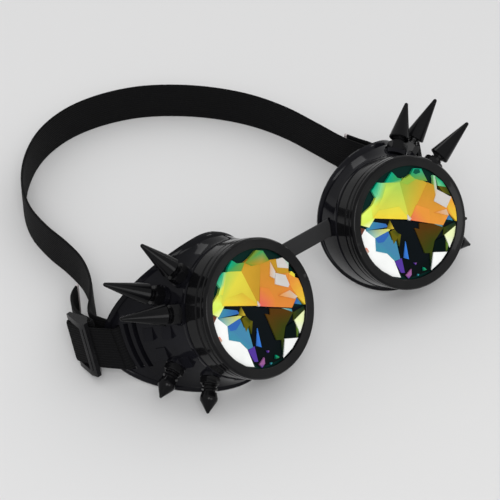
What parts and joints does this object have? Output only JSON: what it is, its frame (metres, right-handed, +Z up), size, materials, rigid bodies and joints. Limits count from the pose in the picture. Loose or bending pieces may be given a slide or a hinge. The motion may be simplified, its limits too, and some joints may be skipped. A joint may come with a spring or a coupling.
{
  "type": "spiked party goggles",
  "caption": "Spiked black party goggles with faceted rainbow lenses in screw rings, a nose bridge strip and an adjustable elastic head strap.",
  "frame": {"origin": "centre of the bounding box's underside, on the table", "axes": "+Z up, lenses face -Y and up, +X to the wearer's left and the viewer's right"},
  "size_m": [0.1988, 0.2097, 0.0708],
  "materials": {
    "cup_shell": "moulded gloss black",
    "screw_ring": "moulded gloss black",
    "crystal": "cut facets with a rainbow coating",
    "gasket": "matt",
    "hex_nut": "gloss black",
    "spike": "gloss black",
    "slider": "gloss black",
    "bridge": "satin black",
    "webbing": "ribbed elastic weave"
  },
  "bodies": {
    "right_cup": {"right_eye_cup": "cup_shell", "right_lens_gasket": "gasket", "right_upper_spike": "spike", "right_rear_spike": "spike", "right_front_spike": "spike", "right_rear_stud": "spike", "right_front_stud": "spike", "right_spike_nuts": "hex_nut", "nose_bridge": "bridge", "head_strap": "webbing"},
    "left_cup": {"left_eye_cup": "cup_shell", "left_lens_gasket": "gasket", "left_upper_spike": "spike", "left_rear_spike": "spike", "left_front_spike": "spike", "left_rear_stud": "spike", "left_front_stud": "spike", "left_spike_nuts": "hex_nut"},
    "right_lens": {"right_crystal_lens": "crystal"},
    "left_lens": {"left_crystal_lens": "crystal"},
    "right_ring": {"right_lens_ring": "screw_ring"},
    "left_ring": {"left_lens_ring": "screw_ring"},
    "right_slider": {"right_strap_slider": "slider"},
    "left_slider": {"left_strap_slider": "slider"}
  },
  "joints": [
    {"name": "bridge_flex", "type": "hinge", "parent": "right_cup", "child": "left_cup", "pos_m": [0, -0.06425, 0.03619], "axis": [0, 0.5299, 0.848], "range_deg": [-25, 12], "stiffness_Nm_per_rad": 0.3, "deforming": ["nose_bridge", "head_strap"]},
    {"name": "right_lens_lift", "type": "slide", "parent": "right_cup", "child": "right_lens", "axis": [-0.108, -0.8431, 0.5268], "range_m": [0, 0.0045]},
    {"name": "right_ring_turn", "type": "hinge", "parent": "right_lens", "child": "right_ring", "pos_m": [0.04396, -0.08313, 0.0369], "axis": [-0.108, -0.8431, 0.5268], "range_deg": [0, 540]},
    {"name": "right_slider_travel", "type": "slide", "parent": "right_cup", "child": "right_slider", "axis": [-0.1392, -0.9418, 0.306], "range_m": [0, 0.004]},
    {"name": "left_lens_lift", "type": "slide", "parent": "left_cup", "child": "left_lens", "axis": [0.108, -0.8431, 0.5268], "range_m": [0, 0.0045]},
    {"name": "left_ring_turn", "type": "hinge", "parent": "left_lens", "child": "left_ring", "pos_m": [-0.04396, -0.08313, 0.0369], "axis": [0.108, -0.8431, 0.5268], "range_deg": [0, 540]},
    {"name": "left_slider_travel", "type": "slide", "parent": "left_cup", "child": "left_slider", "axis": [0.1392, -0.9418, 0.306], "range_m": [0, 0.004]}
  ],
  "couplings": [
    {"joint": "right_ring_turn", "follows": "right_lens_lift", "rad_per_m": 2094.4},
    {"joint": "left_ring_turn", "follows": "left_lens_lift", "rad_per_m": 2094.4}
  ]
}
